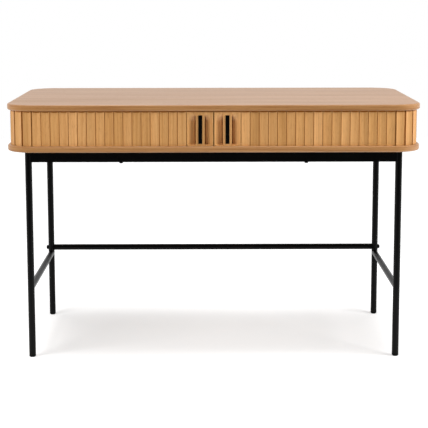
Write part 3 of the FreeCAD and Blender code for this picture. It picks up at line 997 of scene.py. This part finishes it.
@dataclass
class LeadStile:
    """Wide first slat of a door: a rib with a black pull between two finger scoops."""

    side: Side
    tone: float
    ends: SlatEnds = SlatEnds()
    grain_shift: Pair = (0.31, 0.57)
    start: float = 1.4 * MM
    end: float = 77.2 * MM
    step: float = 70 * MM
    face_y: float = -291 * MM
    slat_back_y: float = -283 * MM
    back_y: float = -271 * MM
    ease: float = 0.8 * MM
    ease_segments: int = 4
    arris: float = 0.9 * MM
    arris_segments: int = 3
    arris_degrees: float = 35.0
    sharp_degrees: float = 30.0
    rib_middle: float = 39 * MM
    rib_width: float = 25.5 * MM
    scoop_width: float = 23 * MM
    scoop_depth: float = 11 * MM
    scoop_bottom: float = 641 * MM
    scoop_round: float = 3.5 * MM
    round_segments: int = 4
    scoop_segments: int = 12
    # Upwards a scoop runs out softly, while the quirk beside the rib ends level with the pull
    runout_start: float = 706 * MM
    runout_end: float = 735 * MM
    runout_segments: int = 10
    quirk_top: float = 723 * MM
    quirk_width: float = 3.2 * MM
    quirk_depth: float = 4 * MM
    quirk_slope: float = 0.3 * MM
    tongue_margin: float = 8 * MM
    pull_width: float = 10.8 * MM
    pull_height: float = 81.8 * MM
    pull_middle: float = 685.5 * MM
    pull_proud: float = 2 * MM
    pocket_gap: float = 0.15 * MM
    pocket_depth: float = 6 * MM
    pull_ease: float = 1.2 * MM
    pull_segments: int = 4

    def scoop_stations(self, outwards: int) -> list[float]:
        """Places across one scoop, from beside the rib to where it runs out.

        Args:
            outwards: Sign of X from the rib to the scoop.

        Returns:
            X of each place.
        """
        rib = self.rib_middle + outwards * self.rib_width / 2
        edge = self.quirk_width + self.quirk_slope
        step = (self.scoop_width - edge) / self.scoop_segments
        cove = [edge + step * i for i in range(self.scoop_segments + 1)]
        return [rib + outwards * away for away in [0.0, self.quirk_width, *cove]]

    def scoop_levels(self) -> list[float]:
        """Heights of a scoop's cuts, close together where it bends.

        Returns:
            Z of each cut, upwards.
        """
        turn = math.pi / 2 / self.round_segments
        shares = [1 - math.cos(turn * i) for i in range(self.round_segments + 1)]
        lower = [self.scoop_bottom + self.scoop_round * share for share in shares]
        rise = (self.runout_end - self.runout_start) / self.runout_segments
        upper = [self.runout_start + rise * i for i in range(self.runout_segments + 1)]
        return sorted([*lower, *upper, self.quirk_top - self.quirk_slope, self.quirk_top])

    def depth_at(self, x: float, z: float) -> float:
        """Depth of a scoop at a place on the stile's face.

        Args:
            x: Place across.
            z: Height.

        Returns:
            Depth below the face.
        """
        radius = (self.scoop_width**2 + self.scoop_depth**2) / (2 * self.scoop_depth)
        away = min(max(abs(x - self.rib_middle) - self.rib_width / 2, 0.0), self.scoop_width)
        cove = self.scoop_depth - radius + math.sqrt(radius**2 - away**2)
        short = self.scoop_bottom + self.scoop_round - z
        if short > NEAR:
            rise = self.scoop_round - math.sqrt(max(self.scoop_round**2 - short**2, 0.0))
            return max(cove - rise, 0.0)
        past = max(z - self.runout_start, 0.0) / (self.runout_end - self.runout_start)
        in_quirk = away < self.quirk_width + NEAR and z < self.quirk_top - NEAR
        return cove * (1 + math.cos(math.pi * past)) / 2 + (self.quirk_depth if in_quirk else 0.0)

    def build(self) -> Shape:
        """Shape of the right-hand stile.

        Returns:
            The stile with its scoops, pocket, neck and tongues.
        """
        bm = bmesh.new()
        plan = [
            (self.start, self.face_y),
            (self.end, self.face_y),
            (self.end, self.slat_back_y),
            (self.step, self.slat_back_y),
            (self.step, self.back_y),
            (self.start, self.back_y),
        ]
        bm.faces.new([bm.verts.new((x, y, self.ends.bottom)) for x, y in plan])
        lift(bm, bm.faces[:], Vector((0, 0, self.ends.top - self.ends.bottom)))
        bmesh.ops.recalc_face_normals(bm, faces=bm.faces[:])
        fronts = [e for e in bm.edges if max(v.co.y for v in e.verts) < self.face_y + NEAR]
        upright = [e for e in fronts if abs(e.verts[0].co.x - e.verts[1].co.x) < NEAR]
        round_edges(bm, upright, self.ease, self.ease_segments)
        self.cut_scoops(bm)
        self.cut_pocket(bm)
        tongue = (self.start + self.tongue_margin, self.end - self.tongue_margin)
        self.ends.add(bm, (self.face_y, self.slat_back_y), tongue, (self.start, self.end))
        return bm

    def face_parts(self, bm: Shape) -> list[Any]:
        """Faces in the plane of the stile's front, with their edges and vertices.

        Args:
            bm: Shape of the stile.

        Returns:
            The vertices, edges and faces.
        """
        faces = self.front_faces(bm)
        edges = {e for f in faces for e in f.edges}
        verts = {v for f in faces for v in f.verts}
        return [*verts, *edges, *faces]

    def front_faces(self, bm: Shape) -> list[Face]:
        """Faces in the plane of the stile's front."""
        return [f for f in bm.faces if all(abs(v.co.y - self.face_y) < NEAR for v in f.verts)]

    def cut_across(self, bm: Shape, place: Iterable[float], normal: Iterable[float]) -> None:
        """Cut the stile's front along a plane."""
        bmesh.ops.bisect_plane(bm, geom=self.face_parts(bm), dist=NEAR, plane_co=place, plane_no=normal)

    def cut_scoops(self, bm: Shape) -> None:
        """Sink the two finger scoops beside the rib, and ease their rims.

        Args:
            bm: Shape of the stile.
        """
        levels = self.scoop_levels()
        for level in levels:
            self.cut_across(bm, (0, 0, level), (0, 0, 1))
        for outwards in (-1, 1):
            stations = self.scoop_stations(outwards)
            for x in stations:
                self.cut_across(bm, (x, 0, 0), (1, 0, 0))
            near, far = sorted((stations[0], stations[-1]))
            hollow = []
            for face in self.front_faces(bm):
                centre = face.calc_center_median()
                if near < centre.x < far and levels[0] < centre.z < levels[-1]:
                    hollow.append(face)
            for vert in lift(bm, hollow, Vector()):
                vert.co.y += self.depth_at(vert.co.x, vert.co.z)
        bmesh.ops.remove_doubles(bm, verts=bm.verts[:], dist=NEAR)
        bmesh.ops.dissolve_degenerate(bm, edges=bm.edges[:], dist=NEAR)
        bmesh.ops.recalc_face_normals(bm, faces=bm.faces[:])
        reach = self.rib_width / 2 + self.scoop_width
        rims = []
        for edge in bm.edges:
            ends = [v.co for v in edge.verts]
            inside = all(levels[0] - NEAR < c.z < self.quirk_top + NEAR for c in ends)
            within = all(abs(c.x - self.rib_middle) < reach - NEAR for c in ends)
            on_face = all(abs(c.y - self.face_y) < NEAR for c in ends)
            if not (inside and within and on_face and edge.is_manifold):
                continue
            if edge.calc_face_angle() > math.radians(self.arris_degrees):
                rims.append(edge)
        round_edges(bm, rims, self.arris, self.arris_segments)

    def cut_pocket(self, bm: Shape) -> None:
        """Sink the pull's pocket into the rib.

        Args:
            bm: Shape of the stile.
        """
        middle = Vector((self.rib_middle, 0.0, self.pull_middle))
        half = Vector((self.pull_width / 2, 0.0, self.pull_height / 2))
        half += Vector((self.pocket_gap, 0.0, self.pocket_gap))
        for corner in (middle - half, middle + half):
            for normal in ((1, 0, 0), (0, 0, 1)):
                self.cut_across(bm, corner, normal)
        pocket = []
        for face in self.front_faces(bm):
            away = face.calc_center_median() - middle
            if abs(away.x) < half.x and abs(away.z) < half.z:
                pocket.append(face)
        lift(bm, pocket, Vector((0, self.pocket_depth, 0)))

    def build_pull(self) -> Shape:
        """Shape of the right-hand pull strip, with a softly eased front.

        Returns:
            The strip.
        """
        bm = bmesh.new()
        across = self.pull_width / 2
        up = self.pull_height / 2
        low = (self.rib_middle - across, self.face_y - self.pull_proud, self.pull_middle - up)
        high = (self.rib_middle + across, self.face_y + self.pocket_depth, self.pull_middle + up)
        add_block(bm, low, high)
        fronts = [e for e in bm.edges if max(v.co.y for v in e.verts) < self.face_y]
        round_edges(bm, fronts, self.pull_ease, self.pull_segments)
        return bm

    def dress(self, oak: Material, pull: Material) -> None:
        """Make the stile and its pull, in the CAD stile's place on its door.

        Args:
            oak: Finish of the stile.
            pull: Finish of the pull strip.
        """
        across, up = self.grain_shift
        made = {
            "lead_stile": (self.build(), oak, "oak_slat", "lead_board"),
            "pull_inlay": (self.build_pull(), pull, "pull_black", "pull_strip"),
        }
        for node, (bm, finish, slot, name) in made.items():
            if self.side is Side.LEFT:
                bmesh.ops.scale(bm, verts=bm.verts[:], vec=(-1, 1, 1))
            layer = bm.faces.layers.float_vector.new(BOARD_LAYER)
            for face in bm.faces:
                # Faces above the stile's top, its neck and tongues, take painted shade
                at_end = face.calc_center_median().z > self.ends.top + NEAR
                face[layer] = Vector((UNDER_TOP_SHADE_TONE if at_end else self.tone, across * self.side.value, up))
            piece = finish_piece(bm, self.side.prefix + name, finish, self.sharp_degrees)
            stand_for(piece, self.side.prefix + "door", slot, self.side.prefix + node)


@dataclass(frozen=True)
class Softbox:
    """Soft square lamp that faces the cabinet."""

    name: str
    place: Triple
    watts: float
    aim: Triple = (0.0, -0.2, 0.65)
    width: float = 1.6

    def add(self) -> None:
        """Put the lamp in the studio."""
        lamp = bpy.data.lights.new(self.name, "AREA")
        lamp.shape = "SQUARE"
        lamp.size = self.width
        lamp.energy = self.watts
        holder = bpy.data.objects.new(self.name, lamp)
        holder.location = self.place
        heading = Vector(self.aim) - Vector(self.place)
        holder.rotation_euler = heading.to_track_quat("-Z", "Y").to_euler()
        # From behind, the lamp's reflection would turn the top white
        holder.visible_glossy = False
        bpy.context.scene.collection.objects.link(holder)


@dataclass
class Studio:
    """Pale floor, soft lamps, a white surround and the camera of the photograph."""

    image_width: float = 428.0
    focal_px: float = 1207.98
    axis_row: float = 150.0
    sensor: float = 36.0
    eye: Triple = (-17.1 * MM, -3723.5 * MM, 1087.7 * MM)
    yaw: float = 0.00512
    pitch: float = 0.13353
    roll: float = -0.00126
    surround: float = 0.2
    front_fill: float = 0.08
    front_dimness: float = 0.1
    # The surround goes from dim to bright between these Y of the direction looked in
    front_range: Pair = (-0.8, 0.0)
    floor_low: Pair = (-4.0, -1.3)
    floor_high: Pair = (4.0, 5.0)
    floor_colour: str = "#d8d8d8"
    # Below the desk the floor's glow drops in a box, a painted shadow over the lamps' real one
    painted_shadow_glow: float = 0.375
    rim_glow: float = 0.68
    painted_shadow_middle: Pair = (0.02, 0.0)
    painted_shadow_across: Pair = (0.43, 0.68)
    painted_shadow_deep: Pair = (0.08, 0.55)
    softboxes: tuple[Softbox, ...] = (
        Softbox("left_softbox", (-2.3, -1.9, 1.6), 62.0),
        Softbox("right_softbox", (2.4, -1.2, 1.6), 68.0),
    )
    overhead: float = 1.38
    overhead_degrees: float = 22.0
    overhead_heading: Triple = (0.04, 0.04, -1.0)

    def seen(self, tree: Tree) -> Socket:
        """One for rays that show the surround itself, to the camera, in a gloss or through glass.

        Args:
            tree: Node tree that asks.

        Returns:
            Socket with 1 or 0.
        """
        path = add_node(tree, "ShaderNodeLightPath")
        shown = path.outputs["Is Camera Ray"]
        for name in ("Is Glossy Ray", "Is Transmission Ray"):
            shown = add_node(
                tree, "ShaderNodeMath", {"operation": "MAXIMUM"}, {0: shown, 1: path.outputs[name]}
            ).outputs[0]
        return shown

    def add_surround(self) -> None:
        """White world that lights the desk softly, and is dim on the sitter's side as a studio is."""
        world = bpy.data.worlds.new("white_surround")
        world.use_nodes = True
        tree = world.node_tree
        tree.nodes.clear()
        heading = add_node(tree, "ShaderNodeTexCoord").outputs["Generated"]
        depth = add_node(tree, "ShaderNodeSeparateXYZ", inputs={0: heading}).outputs["Y"]
        values = {
            "Value": depth,
            "From Min": self.front_range[0],
            "From Max": self.front_range[1],
            "To Min": self.front_dimness,
        }
        level = add_node(
            tree, "ShaderNodeMapRange", {"interpolation_type": "SMOOTHSTEP"}, values
        ).outputs["Result"]
        light = add_node(
            tree,
            "ShaderNodeMath",
            {"operation": "MULTIPLY_ADD"},
            {0: level, 1: self.surround - self.front_fill, 2: self.front_fill},
        ).outputs[0]
        camera = add_node(tree, "ShaderNodeLightPath").outputs["Is Camera Ray"]
        shown = add_node(tree, "ShaderNodeMath", {"operation": "MAXIMUM"}, {0: level, 1: camera}).outputs[0]
        lit, white = (
            add_node(tree, "ShaderNodeBackground", inputs={"Color": WHITE, "Strength": strength}).outputs[0]
            for strength in (light, shown)
        )
        mixed = add_node(tree, "ShaderNodeMixShader", inputs={0: self.seen(tree), 1: lit, 2: white})
        add_node(tree, "ShaderNodeOutputWorld", inputs={"Surface": mixed.outputs[0]})
        bpy.context.scene.world = world

    def add_floor(self) -> None:
        """White floor that keeps the desk's shadow, glows less in a box under the desk as a painted shadow,
        and fades into the surround around it.
        """
        material, tree, shader = new_material("studio_floor")
        shader.inputs["Base Color"].default_value = linear(self.floor_colour)
        shader.inputs["Roughness"].default_value = 1.0
        shader.inputs["Specular IOR Level"].default_value = 0.0
        place = add_node(tree, "ShaderNodeTexCoord").outputs["Object"]
        middle = {0: place, 1: (*self.painted_shadow_middle, 0.0)}
        offset = add_node(tree, "ShaderNodeVectorMath", {"operation": "SUBTRACT"}, middle).outputs[0]
        away = add_node(tree, "ShaderNodeVectorMath", {"operation": "ABSOLUTE"}, {0: offset}).outputs[0]
        apart = add_node(tree, "ShaderNodeSeparateXYZ", inputs={0: away})
        # The glow is lowest in a box under the desk: a painted shadow
        across, deep = (
            add_node(
                tree,
                "ShaderNodeMapRange",
                {"interpolation_type": "SMOOTHSTEP"},
                {
                    "Value": apart.outputs[axis],
                    "From Min": near,
                    "From Max": far,
                    "To Min": self.painted_shadow_glow,
                    "To Max": self.rim_glow,
                },
            ).outputs["Result"]
            for axis, (near, far) in (("X", self.painted_shadow_across), ("Y", self.painted_shadow_deep))
        )
        painted_shadow_fade = add_node(tree, "ShaderNodeMath", {"operation": "MAXIMUM"}, {0: across, 1: deep}).outputs[0]
        seen = self.seen(tree)
        strength = add_node(tree, "ShaderNodeMath", {"operation": "MULTIPLY"}, {0: painted_shadow_fade, 1: seen}).outputs[0]
        glow = add_node(tree, "ShaderNodeEmission", inputs={"Color": WHITE, "Strength": strength})
        glowing = add_node(tree, "ShaderNodeAddShader", inputs={0: shader.outputs[0], 1: glow.outputs[0]})
        tree.links.new(glowing.outputs[0], tree.nodes["Material Output"].inputs["Surface"])
        bm = bmesh.new()
        corners = [self.floor_low, (self.floor_high[0], self.floor_low[1])]
        corners += [self.floor_high, (self.floor_low[0], self.floor_high[1])]
        bm.faces.new([bm.verts.new((x, y, 0.0)) for x, y in corners])
        floor = finish_piece(bm, "studio_floor", material)

    def add_lamps(self) -> None:
        """A softbox on each side, and an even light from above that lays the shadow under the desk."""
        for softbox in self.softboxes:
            softbox.add()
        lamp = bpy.data.lights.new("overhead", "SUN")
        lamp.energy = self.overhead
        lamp.angle = math.radians(self.overhead_degrees)
        holder = bpy.data.objects.new("overhead", lamp)
        holder.rotation_euler = Vector(self.overhead_heading).to_track_quat("-Z", "Y").to_euler()
        bpy.context.scene.collection.objects.link(holder)

    def add_camera(self) -> None:
        """Camera at the photograph's viewing angle."""
        level = math.cos(self.pitch)
        forward = Vector((math.sin(self.yaw) * level, math.cos(self.yaw) * level, -math.sin(self.pitch)))
        right = Vector((math.cos(self.yaw), -math.sin(self.yaw), 0.0))
        up = right.cross(forward)
        tilted_right = math.cos(self.roll) * right + math.sin(self.roll) * up
        tilted_up = -math.sin(self.roll) * right + math.cos(self.roll) * up
        turn = Matrix((tilted_right, tilted_up, -forward)).transposed().to_4x4()
        camera = bpy.data.cameras.new("photo_camera")
        camera.sensor_width = self.sensor
        camera.lens = self.focal_px / self.image_width * self.sensor
        camera.shift_y = (self.axis_row - self.image_width / 2) / self.image_width
        holder = bpy.data.objects.new("photo_camera", camera)
        holder.matrix_world = Matrix.Translation(Vector(self.eye)) @ turn
        bpy.context.scene.collection.objects.link(holder)
        bpy.context.scene.camera = holder

    def build(self) -> None:
        """Set up the whole studio."""
        bpy.context.scene.view_settings.view_transform = "Standard"
        self.add_surround()
        self.add_floor()
        self.add_lamps()
        self.add_camera()


@dataclass
class CarriedNodes:
    """CAD nodes that keep their shape and get a finish."""

    nodes: dict[str, Piece]

    def dress(self, material: Material, names: Iterable[str]) -> None:
        """Give some nodes a finish.

        Args:
            material: The finish.
            names: Names of the nodes.
        """
        for name in names:
            self.nodes[name].material_slots[0].material = material
            LOG.info("%s keeps its shape, in %s", name, material.name)


def both(name: str) -> list[str]:
    """Names of a mirrored pair of nodes."""
    return [side.prefix + name for side in Side]


def main() -> None:
    """Build and dress every sub-assembly, and set up the studio."""
    logging.basicConfig(level=logging.INFO, format="%(name)s: %(message)s")
    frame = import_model()
    outline = Outline()
    # Lacquered oak veneer: long streaks that take the light unevenly
    board_oak = WoodFinish(
        "oak_board_veneer",
        "#b28251",
        "#9e6d3f",
        "#7c4b24",
        GrainRun.ALONG_MAP,
        band_length_mm=1200.0,
        band_width_mm=80.0,
        band_strength=0.09,
        roughness=0.35,
        gloss=0.55,
        gloss_strength=0.6,
    ).material()
    # Lacquered solid oak and oak ply: paler, with short pores and a softer sheen
    oak = {"pale": "#d7a266", "deep": "#c89156", "pore": "#9f6e3e"}
    slat_oak = WoodFinish("oak_tambour_slats", run=GrainRun.ALONG_Z, **oak).material()
    skin_oak = WoodFinish("oak_bent_ply", run=GrainRun.ALONG_Z, **oak).material()
    lining_x = WoodFinish("oak_lining_across", run=GrainRun.ALONG_X, **oak).material()
    lining_y = WoodFinish("oak_lining_deep", run=GrainRun.ALONG_Y, **oak).material()
    # Turned beech: pale and even
    beech = WoodFinish("turned_beech", "#dcb88c", "#c99c6c", "#a87a4c", GrainRun.ALONG_Z).material()
    # Powder coat and paint: near black, with a low gleam along the round edges
    powder = CoatFinish("black_powder_coat", "#020202", "#040404", 0.36, gloss=0.115).material()
    paint = CoatFinish("black_painted_pull", "#020202", "#050505", 0.4, gloss=0.1).material()
    # Moulded polythene: matt, and a little greyer than the coat
    plastic = CoatFinish("black_moulded_polythene", "#060606", "#0a0a0a", 0.5, gloss=0.07).material()
    # Oxidised and zinc-plated steel: a dull black, and a bright grey that mirrors softly
    oxide = CoatFinish("black_oxide_steel", "#060606", "#0c0c0c", 0.34, gloss=0.1).material()
    zinc = CoatFinish("zinc_plated_steel", "#b4b6ba", "#9a9ca2", 0.35, metallic=1.0).material()
    # Cotton canvas: matt brown threads with dark hollows
    canvas = CanvasFinish("brown_cotton_canvas", "#9a6f43", "#5c3f22").material()

    Board("oak_top", "top_panel", TrackFace.UNDERSIDE, outline).dress(board_oak)
    Board("oak_floor", "bottom_panel", TrackFace.UPPER, outline).dress(board_oak)
    for side, seed, tone in ((Side.LEFT, 11, -0.5), (Side.RIGHT, 23, 0.3)):
        Tambour(side, outline, seed).dress(slat_oak, canvas)
        LeadStile(side, tone).dress(slat_oak, paint)

    carried = CarriedNodes(frame["nodes"])
    carried.dress(skin_oak, ["back_panel", *both("rear_corner_shell")])
    carried.dress(lining_x, ["inner_back_wall"])
    carried.dress(lining_y, ["centre_partition", *both("inner_wall")])
    carried.dress(beech, ["carcass_dowels", *both("door_stop")])
    steel = ["front_rail", "rear_rail", "rear_stretcher"]
    for name in ("front_leg", "rear_leg", "side_rail", "side_stretcher"):
        steel += both(name)
    carried.dress(powder, steel)
    carried.dress(plastic, both("front_glide") + both("rear_glide"))
    carried.dress(oxide, ["frame_screws", *both("stretcher_bolt"), *both("saddle_washer")])
    carried.dress(zinc, ["stop_screws", *both("stretcher_plug")])

    Studio().build()


if __name__ == "__main__":
    main()
